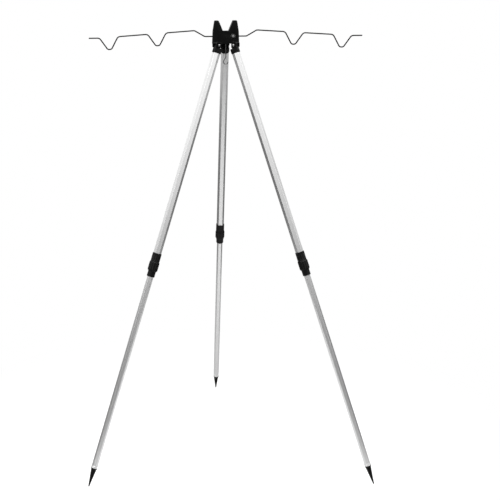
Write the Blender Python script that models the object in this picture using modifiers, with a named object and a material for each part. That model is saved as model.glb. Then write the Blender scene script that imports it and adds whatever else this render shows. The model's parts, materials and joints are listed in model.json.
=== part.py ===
"""Rod tripod for resting fishing rods: a V-horned head with a small hook under it, three telescopic
hexagonal legs that hinge on it, and two folding wire arms with two V rests each. Lengths are metres, +Z is
up, and the tripod faces -Y.

Each leg is modelled upright in its own frame: local -Z runs down the leg and local +X points away from
the head. An empty at the hinge pin leans and turns it into place, with the pin a little outside the
leg's own axis. Places down a leg are depths below its pin.
"""

import math

import bmesh
import bpy
from mathutils import Matrix, Vector

MM = 0.001

# Clearances
GAP = 0.3 * MM  # between faces that touch, and all round a fixed pin in its hole
SLIDING_GAP = 0.25 * MM  # per side, between pieces that slide along a leg

# Legs as a whole
SPLAY = math.radians(19.75)  # lean of each leg while the tripod stands
HINGE_RADIUS = 26.0 * MM  # from the head's axis to each hinge pin
PIN_OFFSET = 4.4 * MM  # from a leg's own axis out to its hinge pin
LEG_AZIMUTHS = {"front_right": -30.0, "front_left": 210.0, "rear": 90.0}  # degrees from +X

# Head block, with heights above the hinge pins
HEAD_HEIGHT = 60.9 * MM  # to the horn tips
HEAD_BASE = 3.4 * MM
HEAD_DEPTH = 27.0 * MM
HEAD_HALF_WIDTH = 33.3 * MM  # at the base
SHOULDER_HALF_WIDTH = 32.1 * MM
HORN_SHOULDER = 34.9 * MM  # above it the sides lean in more
HORN_TIP_OUTER = 27.8 * MM  # from the middle to a horn tip's outer corner
HORN_TIP_INNER = 18.0 * MM
HORN_CORNER = 2.0 * MM
NOTCH_FLOOR = 35.3 * MM
NOTCH_FLOOR_HALF = 7.4 * MM
NOTCH_CORNER = 2.0 * MM

# Leg brackets below the block: two ears and the web that joins them to it
EAR_THICKNESS = 3.7 * MM
EAR_REACH = 7.7 * MM  # outwards past the pin
EAR_INNER_REACH = 6.0 * MM  # inwards past the pin
EAR_TOP = 8.4 * MM  # above the pin
EAR_CHAMFER = 3.0 * MM
WEB_THICKNESS = 3.4 * MM
FRONT_WEB_REACH = 9.0 * MM  # inwards past the pin
REAR_WEB_REACH = 16.0 * MM
TONGUE_HEADROOM = 0.7 * MM
TONGUE_WIDTH = 12.0 * MM
TONGUE_RADIUS = 4.6 * MM
TONGUE_FOOT = 9.0 * MM  # inwards past the pin, where the tongue meets the collar
PIN_RADIUS = 2.0 * MM
PIN_HEAD_RADIUS = 3.0 * MM
PIN_HEAD_HEIGHT = 1.5 * MM
PIN_HEAD_CROWN = 1.8 * MM  # radius of the rivet head's flat crown
PIN_HEAD_RIM = 0.6 * MM  # height of its upright rim

# Leg caps: a tongue on the hinge, a hexagonal collar and a plug inside the upper tube
CAP_TOP = 6.9 * MM  # depth of the collar's top
CAP_HEIGHT = 12.1 * MM
CAP_LIP = 1.0 * MM  # how far the collar stands out over each flat of the tube
PLUG_LENGTH = 40.0 * MM

# Tubes, hexagonal, measured across flats
UPPER_FLATS = 17.5 * MM
UPPER_WALL = 1.2 * MM
UPPER_LENGTH = 532.8 * MM
LOWER_FLATS = 13.5 * MM
LOWER_WALL = 1.0 * MM
LOWER_LENGTH = 535.0 * MM

# Twist locks
COLLAR_SEAT = 13.1 * MM  # length of upper tube inside the collar
COLLAR_LENGTH = 21.3 * MM
COLLAR_RADIUS = 11.3 * MM
COLLAR_CHAMFER = 0.7 * MM
COLLAR_LIP = 1.4 * MM  # height of the chamfer at the collar's top
SPIGOT_LENGTH = 8.7 * MM  # threaded neck that the nut goes over
SPIGOT_RADIUS = 9.4 * MM
COLLET_LENGTH = 13.7 * MM
COLLET_TAPER = 0.5 * MM
COLLET_SLIT = 1.2 * MM
NUT_RADIUS = 12.6 * MM
NUT_GRIP_LENGTH = 24.5 * MM
NUT_SLEEVE_RADIUS = 9.9 * MM
NUT_SLEEVE_LENGTH = 14.8 * MM
NUT_CHAMFER = 1.4 * MM  # inwards, at both ends of the grip
NUT_TAPER = 2.8 * MM  # height of that chamfer
SLEEVE_CHAMFER = 0.7 * MM
SLEEVE_TAPER = 1.4 * MM
NUT_THROAT = 0.45 * MM  # between the nut's mouth and the corners of the lower tube

# Guide on top of each lower tube, ferrule and spike at its foot
GUIDE_LENGTH = 37.0 * MM
GUIDE_STEM = 20.0 * MM
FERRULE_LENGTH = 4.9 * MM
FERRULE_TOP_RADIUS = 7.9 * MM
FERRULE_RADIUS = 8.3 * MM
SPIKE_COLLAR = 3.3 * MM
SPIKE_COLLAR_RADIUS = 7.6 * MM
SPIKE_BASE_RADIUS = 7.1 * MM  # to the corners of the tapering point
SPIKE_TIP_RADIUS = 1.2 * MM
SPIKE_LENGTH = 45.0 * MM
SPIKE_STEM = 25.0 * MM

# Wire arms: distances out from the pivot along the arm at rest, heights above the pivot
WIRE_RADIUS = 1.6 * MM
WIRE_BEND = 3.2 * MM  # radius of the wire's middle where it turns into the head
ARM_SPACING = 3.8 * MM  # between the planes of the two arms
PIVOT_OFFSET = 18.0 * MM  # from the middle to each pivot, on the side away from its arm
PIVOT_HEIGHT = 21.4 * MM
ARM_HEADROOM = 0.5 * MM  # over the wires, inside the head
ARM_STRAIGHT = 70.5 * MM
CRANK_LENGTH = 25.8 * MM
CRANK_RISE = 14.9 * MM
CRANK_BEND = 9.0 * MM
ARM_DROOP = math.radians(3.9)
FIRST_REST = 94.5 * MM  # along the drooping wire, from the crank's top to the middle of the first V
REST_SPACING = 121.2 * MM
REST_WIDTH = 46.4 * MM
REST_FLOOR = 9.4 * MM  # width of the V's blunt bottom, corner to corner
REST_DEPTH = 30.2 * MM
REST_BEND = 6.8 * MM
SHOULDER_BEND = 10.0 * MM
REST_COUNT = 2
ARM_TAIL = 27.1 * MM
TAIL_RISE = 1.8 * MM

# Hook under the head's front wall, in a plane parallel to the front
HOOK_RADIUS = 1.0 * MM
HOOK_ROOT = 8.0 * MM  # length of its shank inside the head
HOOK_NECK = 30.0 * MM  # depth below the hinge pins where the shank bends aside
HOOK_OFFSET = 5.5 * MM  # from the shank to the bowl's outer side
HOOK_SHOULDER = 40.0 * MM  # depth where the bowl starts
HOOK_DROP = 48.0 * MM  # depth of the bowl's bottom
HOOK_TIP = 42.0 * MM  # depth of the free end
HOOK_BEND = 4.0 * MM
BOWL_RADIUS = 5.4 * MM

# Washer and push-on retainer on the end of each wire
WASHER_RADIUS = 6.2 * MM
WASHER_THICKNESS = 0.8 * MM
RETAINER_RADIUS = 5.6 * MM
RETAINER_HEIGHT = 2.8 * MM
RETAINER_RIM = 0.8 * MM
RETAINER_DOME = 2.2 * MM  # height where the dome turns in
RETAINER_DOME_RADIUS = 4.2 * MM
RETAINER_CROWN_RADIUS = 2.2 * MM
RETAINER_SKIN = 0.9 * MM
RECESS_DEPTH = 1.2 * MM
RECESS_MARGIN = 0.8 * MM  # between the washer's rim and the recess

# Facets and cutters
ROUND_STEPS = 32
SMALL_STEPS = 20
WIRE_RESOLUTION = 2  # gives the wire 12 facets round
TONGUE_STEPS = 8
BEND_STEP = math.radians(15)
PAST = 5.0 * MM  # how far a cutter runs past the face it opens
MERGE = 0.00001

# Places down a leg, worked out from the sizes above
TUBE_TOP = CAP_TOP + CAP_HEIGHT + GAP
TUBE_END = TUBE_TOP + UPPER_LENGTH
PLUG_END = CAP_TOP + CAP_HEIGHT + PLUG_LENGTH
COLLAR_TOP = TUBE_END - COLLAR_SEAT
LEDGE = TUBE_END + GAP  # inside the collar, under the upper tube
COLLAR_END = COLLAR_TOP + COLLAR_LENGTH
SPIGOT_END = COLLAR_END + SPIGOT_LENGTH
COLLET_TOP = SPIGOT_END + GAP
COLLET_END = COLLET_TOP + COLLET_LENGTH
NUT_TOP = COLLAR_END + GAP
NUT_SHOULDER = NUT_TOP + NUT_GRIP_LENGTH
NUT_END = NUT_SHOULDER + NUT_SLEEVE_LENGTH
GUIDE_END = LEDGE - GAP
LOWER_TOP = GUIDE_END + GAP
LOWER_END = LOWER_TOP + LOWER_LENGTH
FERRULE_TOP = LOWER_END + GAP
SPIKE_TOP = FERRULE_TOP + FERRULE_LENGTH + GAP
LEG_LENGTH = SPIKE_TOP + SPIKE_COLLAR + SPIKE_LENGTH  # pin to tip

# Fits
HEX_CORNER = 1 / math.cos(math.pi / 6)  # corner radius over half the width across flats
UPPER_BORE = UPPER_FLATS - 2 * UPPER_WALL
LOWER_BORE = LOWER_FLATS - 2 * LOWER_WALL
STEM_RADIUS = LOWER_BORE / 2 - GAP
BRACKET_HALF = TONGUE_WIDTH / 2 + GAP + EAR_THICKNESS
COLLET_RADIUS = SPIGOT_RADIUS
NUT_BORE = SPIGOT_RADIUS + GAP
PIN_LENGTH = 2 * (BRACKET_HALF + GAP)  # between its heads
SLOT_HALF = ARM_SPACING / 2 + WIRE_BEND

# Where the assembly stands: the origin is on the ground, under the middle of the box round it
TIP_FLAT = SPIKE_TIP_RADIUS / HEX_CORNER
HINGE_HEIGHT = LEG_LENGTH * math.cos(SPLAY) + (PIN_OFFSET + TIP_FLAT) * math.sin(SPLAY)
FOOT_RADIUS = HINGE_RADIUS - PIN_OFFSET * math.cos(SPLAY) + LEG_LENGTH * math.sin(SPLAY)
REAR_REACH = FOOT_RADIUS + TIP_FLAT * math.cos(SPLAY)
FRONT_REACH = FOOT_RADIUS / 2 + SPIKE_TIP_RADIUS * math.cos(math.pi / 6)
AXIS_Y = (FRONT_REACH - REAR_REACH) / 2
SLOT_Y = (HINGE_RADIUS - PIN_OFFSET) / 4  # midway between the rear and the front tubes when folded
HOOK_Y = SLOT_Y - (HEAD_DEPTH / 2 + SLOT_HALF) / 2  # the middle of the head's front wall
ON_AXIS = Matrix.Translation((-PIN_OFFSET, 0, 0))  # a leg's own axis in its pin's frame

for old in list(bpy.data.objects):
    bpy.data.objects.remove(old)

PARTS = bpy.data.collections.new("rod_tripod")
CUTTERS = bpy.data.collections.new("cutters")
for group in (PARTS, CUTTERS):
    bpy.context.scene.collection.children.link(group)


def material(name, colour, roughness, metallic):
    made = bpy.data.materials.new(name)
    made.use_nodes = True
    shader = made.node_tree.nodes["Principled BSDF"]
    shader.inputs["Base Color"].default_value = (*colour, 1)
    shader.inputs["Roughness"].default_value = roughness
    shader.inputs["Metallic"].default_value = metallic
    made.diffuse_color = (*colour, 1)
    return made


ALUMINIUM = material("satin_aluminium", (0.68, 0.69, 0.70), 0.35, 1.0)
BLACK_PLASTIC = material("black_plastic", (0.018, 0.018, 0.019), 0.45, 0.0)
LOCK_PLASTIC = material("lock_plastic", (0.022, 0.022, 0.024), 0.5, 0.0)
INNER_PLASTIC = material("white_plastic", (0.75, 0.75, 0.73), 0.5, 0.0)
BLACK_WIRE = material("black_coated_wire", (0.012, 0.012, 0.012), 0.4, 0.2)
STEEL = material("zinc_plated_steel", (0.55, 0.55, 0.54), 0.3, 1.0)


# Building pieces


def link(obj, look=None, parent=None, place=None):
    """Puts a finished piece in the parts collection, with its look, parent and local place."""
    PARTS.objects.link(obj)
    if look:
        obj.data.materials.clear()
        obj.data.materials.append(look)
    if place is not None:
        obj.matrix_local = place
    obj.parent = parent
    return obj


def cutter(obj, parent=None, place=None):
    """Keeps a helper out of the render. It cuts or joins only through a Boolean."""
    CUTTERS.objects.link(obj)
    obj.hide_render = True
    obj.display_type = "WIRE"
    if place is not None:
        obj.matrix_local = place
    obj.parent = parent
    return obj


def combine(target, other, operation="DIFFERENCE"):
    boolean = target.modifiers.new(other.name, "BOOLEAN")
    boolean.operation = operation
    boolean.solver = "EXACT"
    boolean.object = other
    return boolean


def smooth(obj, angle=math.radians(35)):
    obj.data.shade_smooth()
    obj.data.set_sharp_from_angle(angle=angle)
    return obj


def object_from(name, geometry):
    mesh = bpy.data.meshes.new(name)
    geometry.to_mesh(mesh)
    geometry.free()
    return bpy.data.objects.new(name, mesh)


def box(name, low, high):
    """A box between two corners."""
    low, high = Vector(low), Vector(high)
    geometry = bmesh.new()
    place = Matrix.Translation((low + high) / 2) @ Matrix.Diagonal((*(high - low), 1))
    bmesh.ops.create_cube(geometry, size=1, matrix=place)
    return object_from(name, geometry)


def prism(name, corner_top, corner_bottom, top, bottom, sides=6):
    """A solid hexagonal or round piece down a leg. The hexagon has flats towards local X."""
    geometry = bmesh.new()
    bmesh.ops.create_cone(
        geometry,
        cap_ends=True,
        segments=sides,
        radius1=corner_bottom,
        radius2=corner_top,
        depth=bottom - top,
        matrix=Matrix.Translation((0, 0, -(top + bottom) / 2)),
    )
    return object_from(name, geometry)


def hexagon(name, flats, top, bottom):
    radius = flats / 2 * HEX_CORNER
    return prism(name, radius, radius, top, bottom)


def cylinder(name, radius, top, bottom, sides=ROUND_STEPS):
    return prism(name, radius, radius, top, bottom, sides)


def hex_tube(name, flats, wall, top, length):
    """An open hexagonal tube: its outer skin, thickened inwards."""
    geometry = bmesh.new()
    radius = flats / 2 * HEX_CORNER
    bmesh.ops.create_cone(
        geometry,
        cap_ends=False,
        segments=6,
        radius1=radius,
        radius2=radius,
        depth=length,
        matrix=Matrix.Translation((0, 0, -top - length / 2)),
    )
    tube = object_from(name, geometry)
    solid = tube.modifiers.new("wall", "SOLIDIFY")
    solid.thickness = wall
    solid.offset = -1
    solid.use_even_offset = True
    return tube


def turned(name, profile, steps=ROUND_STEPS, closed=True):
    """A turned piece. The profile holds (radius, depth) pairs, down the outer side and back up inside."""
    mesh = bpy.data.meshes.new(name)
    count = len(profile)
    edges = [(i, (i + 1) % count) for i in range(count if closed else count - 1)]
    mesh.from_pydata([(radius, 0, -depth) for radius, depth in profile], edges, [])
    piece = bpy.data.objects.new(name, mesh)
    screw = piece.modifiers.new("turn", "SCREW")
    screw.steps = steps
    screw.render_steps = steps
    screw.use_merge_vertices = True
    screw.merge_threshold = MERGE
    screw.use_smooth_shade = True
    return piece


def rounded(corners, closed=True):
    """Points of an outline or a path whose corners, given as (x, y, radius), are rounded by arcs."""
    points = []
    count = len(corners)
    for i, (x, y, radius) in enumerate(corners):
        here = Vector((x, y))
        if radius == 0 or (not closed and i in (0, count - 1)):
            points.append(here)
            continue
        before = (Vector(corners[i - 1][:2]) - here).normalized()
        after = (Vector(corners[(i + 1) % count][:2]) - here).normalized()
        half = before.angle(after) / 2
        reach = radius / math.tan(half)
        centre = here + (before + after).normalized() * radius / math.sin(half)
        start = here + before * reach - centre
        sweep = math.pi - 2 * half
        turn = 1 if start.x * after.y - start.y * after.x > 0 else -1
        steps = max(2, round(sweep / BEND_STEP))
        for step in range(steps + 1):
            angle = turn * sweep * step / steps
            points.append(centre + Matrix.Rotation(angle, 2) @ start)
    return points


def to_mesh(curve_object):
    """Turns a curve into a mesh object with its caps welded, so that it can be cut or joined."""
    CUTTERS.objects.link(curve_object)
    bpy.context.view_layer.update()
    graph = bpy.context.evaluated_depsgraph_get()
    mesh = bpy.data.meshes.new_from_object(curve_object.evaluated_get(graph))
    geometry = bmesh.new()
    geometry.from_mesh(mesh)
    bmesh.ops.remove_doubles(geometry, verts=geometry.verts, dist=MERGE)
    geometry.to_mesh(mesh)
    geometry.free()
    name = curve_object.name
    made = bpy.data.objects.new(name, mesh)
    made.matrix_world = curve_object.matrix_world
    bpy.data.objects.remove(curve_object)
    made.name = name
    return made


def plate(name, outline, thickness):
    """A flat plate from an outline in X and Z. Its middle plane is Y = 0."""
    curve = bpy.data.curves.new(name, "CURVE")
    curve.dimensions = "2D"
    curve.fill_mode = "BOTH"
    curve.extrude = thickness / 2
    spline = curve.splines.new("POLY")
    spline.points.add(len(outline) - 1)
    for point, (x, z) in zip(spline.points, outline):
        point.co = (x, z, 0, 1)
    spline.use_cyclic_u = True
    flat = bpy.data.objects.new(name, curve)
    upright = to_mesh(flat)
    upright.data.transform(Matrix.Rotation(math.pi / 2, 4, "X"))
    return upright


def wire(name, points, radius):
    """A round wire along a path of points."""
    curve = bpy.data.curves.new(name, "CURVE")
    curve.dimensions = "3D"
    curve.bevel_depth = radius
    curve.bevel_resolution = WIRE_RESOLUTION
    curve.use_fill_caps = True
    spline = curve.splines.new("POLY")
    spline.points.add(len(points) - 1)
    for point, place in zip(spline.points, points):
        point.co = (*place, 1)
    spline.use_smooth = True
    return bpy.data.objects.new(name, curve)


def empty(name, matrix, parent=None):
    made = bpy.data.objects.new(name, None)
    made.empty_display_size = 20 * MM
    PARTS.objects.link(made)
    made.parent = parent
    made.matrix_local = matrix
    return made


# Head


def head_outline():
    """Horns, notch and sides of the head block, seen from the front."""
    right = [
        (HEAD_HALF_WIDTH, HEAD_BASE, 0),
        (SHOULDER_HALF_WIDTH, HORN_SHOULDER, 0),
        (HORN_TIP_OUTER, HEAD_HEIGHT, HORN_CORNER),
        (HORN_TIP_INNER, HEAD_HEIGHT, HORN_CORNER),
        (NOTCH_FLOOR_HALF, NOTCH_FLOOR, NOTCH_CORNER),
    ]
    left = [(-x, z, radius) for x, z, radius in reversed(right)]
    return rounded(right + left)


def ear_outline(web_reach):
    """A leg bracket seen from its side: distance outwards from the pin, height above the pin.
    Its outer lower edge stops the splayed cap and its inner lower edge stops the folded one."""
    stop = CAP_TOP - GAP
    outer_edge = -stop * math.cos(SPLAY) + (EAR_REACH - stop * math.sin(SPLAY)) * math.tan(SPLAY)
    corner = stop * math.sin(SPLAY) - stop * (1 - math.cos(SPLAY)) / math.tan(SPLAY)
    return [
        (-EAR_INNER_REACH, -stop),
        (corner, -stop),
        (EAR_REACH, outer_edge),
        (EAR_REACH, EAR_TOP - EAR_CHAMFER),
        (EAR_REACH - EAR_CHAMFER, EAR_TOP),
        (-web_reach, EAR_TOP),
        (-web_reach, EAR_TOP - WEB_THICKNESS),
        (-EAR_INNER_REACH, EAR_TOP - WEB_THICKNESS),
    ]


def pin_hole(name, radius):
    """A cutter along local Y, for a hinge pin."""
    hole = cylinder(name, radius, -BRACKET_HALF - PAST, BRACKET_HALF + PAST, SMALL_STEPS)
    hole.data.transform(Matrix.Rotation(math.pi / 2, 4, "X"))
    return hole


def make_head(axis):
    head = plate("head", head_outline(), HEAD_DEPTH)
    head.data.transform(Matrix.Translation((0, SLOT_Y, 0)))
    link(head, BLACK_PLASTIC, axis)
    pockets = []
    for leg, azimuth in LEG_AZIMUTHS.items():
        turn = Matrix.Rotation(math.radians(azimuth), 4, "Z")
        place = turn @ Matrix.Translation((HINGE_RADIUS, 0, 0))
        web_reach = REAR_WEB_REACH if leg == "rear" else FRONT_WEB_REACH
        bracket = plate(leg + "_bracket", ear_outline(web_reach), 2 * BRACKET_HALF)
        combine(head, cutter(bracket, axis, place), "UNION")
        pocket = box(
            leg + "_tongue_pocket",
            (-EAR_INNER_REACH - PAST, -TONGUE_WIDTH / 2 - GAP, -CAP_TOP - PAST),
            (EAR_REACH + PAST, TONGUE_WIDTH / 2 + GAP, TONGUE_RADIUS + TONGUE_HEADROOM),
        )
        pockets.append(cutter(pocket, axis, place))
        pockets.append(cutter(pin_hole(leg + "_pin_hole", PIN_RADIUS + GAP), axis, place))
    slot = box(
        "arm_slot",
        (-HEAD_HALF_WIDTH - PAST, SLOT_Y - SLOT_HALF, -CAP_TOP - PAST),
        (HEAD_HALF_WIDTH + PAST, SLOT_Y + SLOT_HALF, PIVOT_HEIGHT + WIRE_RADIUS + ARM_HEADROOM),
    )
    hook_hole = cylinder("hook_hole", HOOK_RADIUS + GAP, -HEAD_BASE - HOOK_ROOT - GAP, PAST, SMALL_STEPS)
    under = Matrix.Translation((0, HOOK_Y, 0))
    for tool in (*pockets, cutter(slot, axis), cutter(hook_hole, axis, under)):
        combine(head, tool)
    for side in (-1, 1):
        # side is the arm's own side. Its pivot is on the other one, and runs out to the face nearer it.
        outwards = Matrix.Translation((-side * PIVOT_OFFSET, SLOT_Y, PIVOT_HEIGHT))
        outwards = outwards @ Matrix.Rotation(side * math.pi / 2, 4, "X")
        name = "left" if side < 0 else "right"
        hole = cylinder(name + "_pivot_hole", WIRE_RADIUS + GAP, 0, HEAD_DEPTH, SMALL_STEPS)
        recess_floor = HEAD_DEPTH / 2 - RECESS_DEPTH
        recess = cylinder(name + "_recess", WASHER_RADIUS + RECESS_MARGIN, recess_floor, HEAD_DEPTH)
        for tool in (hole, recess):
            combine(head, cutter(tool, axis, outwards))
    return head


def make_hook(axis):
    """A bent wire hook. Its shank stands in the head's front wall, clear of the slot for the arms."""
    corners = [
        (0, HEAD_BASE + HOOK_ROOT, 0),
        (0, -HOOK_NECK, HOOK_BEND),
        (-HOOK_OFFSET, -HOOK_SHOULDER, HOOK_BEND),
        (-HOOK_OFFSET, -HOOK_DROP, BOWL_RADIUS),
        (2 * BOWL_RADIUS - HOOK_OFFSET, -HOOK_DROP, BOWL_RADIUS),
        (2 * BOWL_RADIUS - HOOK_OFFSET, -HOOK_TIP, 0),
    ]
    points = [Vector((out, 0, height)) for out, height in rounded(corners, closed=False)]
    link(wire("weight_hook", points, HOOK_RADIUS), STEEL, axis, Matrix.Translation((0, HOOK_Y, 0)))


# Legs


def make_leg(leg, azimuth, axis):
    """One leg from its cap to its spike. Returns its empty at the hinge."""
    turn = Matrix.Rotation(math.radians(azimuth), 4, "Z")
    upright = turn @ Matrix.Translation((HINGE_RADIUS, 0, 0))
    lean = Matrix.Rotation(-SPLAY, 4, "Y")
    hinge = empty(leg + "_hinge", upright @ lean, axis)
    make_pin(leg, hinge)
    make_cap(leg, hinge)
    upper = hex_tube(leg + "_upper_tube", UPPER_FLATS, UPPER_WALL, TUBE_TOP, UPPER_LENGTH)
    link(upper, ALUMINIUM, hinge, ON_AXIS)
    make_lock(leg, hinge)
    slide = empty(leg + "_slide", ON_AXIS, hinge)
    lower = hex_tube(leg + "_lower_tube", LOWER_FLATS, LOWER_WALL, LOWER_TOP, LOWER_LENGTH)
    link(lower, ALUMINIUM, slide)
    make_guide(leg, slide)
    make_foot(leg, slide)
    return hinge


def make_pin(leg, hinge):
    """A riveted pin across the ears."""
    half = PIN_LENGTH / 2
    profile = [
        (0, -half - PIN_HEAD_HEIGHT),
        (PIN_HEAD_CROWN, -half - PIN_HEAD_HEIGHT),
        (PIN_HEAD_RADIUS, -half - PIN_HEAD_RIM),
        (PIN_HEAD_RADIUS, -half),
        (PIN_RADIUS, -half),
    ]
    mirrored = [(radius, -depth) for radius, depth in reversed(profile)]
    pin = turned(leg + "_hinge_pin", profile + mirrored, SMALL_STEPS, closed=False)
    link(pin, STEEL, hinge, Matrix.Rotation(math.pi / 2, 4, "X"))


def make_cap(leg, hinge):
    """Tongue, collar and plug of a leg's hinged cap, in one moulding."""
    cap = hexagon(leg + "_cap", UPPER_FLATS + 2 * CAP_LIP, CAP_TOP, CAP_TOP + CAP_HEIGHT)
    link(cap, BLACK_PLASTIC, hinge, ON_AXIS)
    radius = TONGUE_RADIUS
    foot = -CAP_TOP - CAP_HEIGHT / 2
    arc = [math.pi * step / TONGUE_STEPS for step in range(TONGUE_STEPS + 1)]
    outline = [(radius * math.cos(a), radius * math.sin(a)) for a in arc]
    outline += [(-TONGUE_FOOT, -CAP_TOP), (-TONGUE_FOOT, foot), (radius, foot)]
    tongue = plate(leg + "_tongue", outline, TONGUE_WIDTH)
    plug_flats = UPPER_BORE - 2 * GAP
    plug = hexagon(leg + "_plug", plug_flats, CAP_TOP + CAP_HEIGHT / 2, PLUG_END)
    combine(cap, cutter(tongue, hinge), "UNION")
    combine(cap, cutter(plug, hinge, ON_AXIS), "UNION")
    combine(cap, cutter(pin_hole(leg + "_cap_hole", PIN_RADIUS + GAP), hinge))
    return cap


def make_lock(leg, hinge):
    """Collar with its threaded neck, split collet and nut."""
    collar = turned(
        leg + "_lock_collar",
        [
            (0, COLLAR_TOP),
            (COLLAR_RADIUS - COLLAR_CHAMFER, COLLAR_TOP),
            (COLLAR_RADIUS, COLLAR_TOP + COLLAR_LIP),
            (COLLAR_RADIUS, COLLAR_END - COLLAR_CHAMFER),
            (COLLAR_RADIUS - COLLAR_CHAMFER, COLLAR_END),
            (SPIGOT_RADIUS, COLLAR_END),
            (SPIGOT_RADIUS, SPIGOT_END),
            (0, SPIGOT_END),
        ],
        closed=False,
    )
    link(collar, LOCK_PLASTIC, hinge, ON_AXIS)
    seat = hexagon(leg + "_collar_seat", UPPER_FLATS + 2 * GAP, COLLAR_TOP - PAST, LEDGE)
    way = hexagon(leg + "_collar_way", LOWER_FLATS + 2 * SLIDING_GAP, LEDGE - PAST, SPIGOT_END + PAST)
    for tool in (seat, way):
        combine(collar, cutter(tool, hinge, ON_AXIS))

    collet = turned(
        leg + "_lock_collet",
        [
            (0, COLLET_TOP),
            (COLLET_RADIUS, COLLET_TOP),
            (COLLET_RADIUS, COLLET_TOP + COLLET_LENGTH / 2),
            (COLLET_RADIUS - COLLET_TAPER, COLLET_END),
            (0, COLLET_END),
        ],
        closed=False,
    )
    link(collet, INNER_PLASTIC, hinge, ON_AXIS)
    bore = hexagon(
        leg + "_collet_bore",
        LOWER_FLATS + 2 * SLIDING_GAP,
        COLLET_TOP - PAST,
        COLLET_END + PAST,
    )
    slit = box(
        leg + "_collet_slit",
        (0, -COLLET_SLIT / 2, -COLLET_END - PAST),
        (COLLET_RADIUS + PAST, COLLET_SLIT / 2, -COLLET_TOP + PAST),
    )
    for tool in (bore, slit):
        combine(collet, cutter(tool, hinge, ON_AXIS))

    mouth = LOWER_FLATS / 2 * HEX_CORNER + NUT_THROAT
    nut = turned(
        leg + "_lock_nut",
        [
            (NUT_RADIUS - NUT_CHAMFER, NUT_TOP),
            (NUT_RADIUS, NUT_TOP + NUT_TAPER),
            (NUT_RADIUS, NUT_SHOULDER - NUT_TAPER),
            (NUT_RADIUS - NUT_CHAMFER, NUT_SHOULDER),
            (NUT_SLEEVE_RADIUS, NUT_SHOULDER),
            (NUT_SLEEVE_RADIUS, NUT_END - SLEEVE_TAPER),
            (NUT_SLEEVE_RADIUS - SLEEVE_CHAMFER, NUT_END),
            (mouth, NUT_END),
            (mouth, COLLET_END + GAP),
            (NUT_BORE, COLLET_END + GAP),
            (NUT_BORE, NUT_TOP),
        ],
    )
    link(nut, LOCK_PLASTIC, hinge, ON_AXIS)


def make_guide(leg, slide):
    """Plug that steers the top of the lower tube inside the upper one, and stops it from pulling out."""
    top = GUIDE_END - GUIDE_LENGTH
    guide = hexagon(leg + "_guide", UPPER_BORE - 2 * SLIDING_GAP, top, GUIDE_END)
    link(guide, INNER_PLASTIC, slide)
    stem = cylinder(leg + "_guide_stem", STEM_RADIUS, GUIDE_END - PAST, GUIDE_END + GUIDE_STEM, SMALL_STEPS)
    combine(guide, cutter(stem, slide), "UNION")


def make_foot(leg, slide):
    """Ferrule and spike. The spike's stem runs through the ferrule into the lower tube."""
    ferrule = turned(
        leg + "_ferrule",
        [
            (FERRULE_TOP_RADIUS, FERRULE_TOP),
            (FERRULE_RADIUS, FERRULE_TOP + FERRULE_LENGTH),
            (STEM_RADIUS + GAP, FERRULE_TOP + FERRULE_LENGTH),
            (STEM_RADIUS + GAP, FERRULE_TOP),
        ],
    )
    link(ferrule, ALUMINIUM, slide)
    spike = turned(
        leg + "_spike",
        [
            (0, SPIKE_TOP - SPIKE_STEM),
            (STEM_RADIUS, SPIKE_TOP - SPIKE_STEM),
            (STEM_RADIUS, SPIKE_TOP),
            (SPIKE_COLLAR_RADIUS, SPIKE_TOP),
            (SPIKE_COLLAR_RADIUS, SPIKE_TOP + SPIKE_COLLAR),
            (0, SPIKE_TOP + SPIKE_COLLAR),
        ],
        closed=False,
    )
    link(spike, BLACK_PLASTIC, slide)
    point = prism(
        leg + "_spike_point",
        SPIKE_BASE_RADIUS + (SPIKE_BASE_RADIUS - SPIKE_TIP_RADIUS) * SPIKE_COLLAR / 2 / SPIKE_LENGTH,
        SPIKE_TIP_RADIUS,
        SPIKE_TOP + SPIKE_COLLAR / 2,
        LEG_LENGTH,
    )
    combine(spike, cutter(point, slide), "UNION")


# Arms


def arm_path():
    """Corners of an arm at rest, as (distance out, height, bend radius) from its pivot. Past the crank
    the wire droops, and each V hangs square to it."""
    crank_top = Vector((ARM_STRAIGHT + CRANK_LENGTH, CRANK_RISE))
    along = Vector((math.cos(ARM_DROOP), -math.sin(ARM_DROOP)))
    down = Vector((-math.sin(ARM_DROOP), -math.cos(ARM_DROOP)))
    corners = [(ARM_STRAIGHT, 0, CRANK_BEND), (*crank_top, CRANK_BEND)]
    for rest in range(REST_COUNT):
        middle = FIRST_REST + rest * REST_SPACING
        for reach, depth, radius in (
            (-REST_WIDTH / 2, 0, SHOULDER_BEND),
            (-REST_FLOOR / 2, REST_DEPTH, REST_BEND),
            (REST_FLOOR / 2, REST_DEPTH, REST_BEND),
            (REST_WIDTH / 2, 0, SHOULDER_BEND),
        ):
            corners.append((*(crank_top + along * (middle + reach) + down * depth), radius))
    tip = crank_top + along * (middle + REST_WIDTH / 2 + ARM_TAIL) - down * TAIL_RISE
    corners.append((*tip, 0))
    return corners


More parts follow.
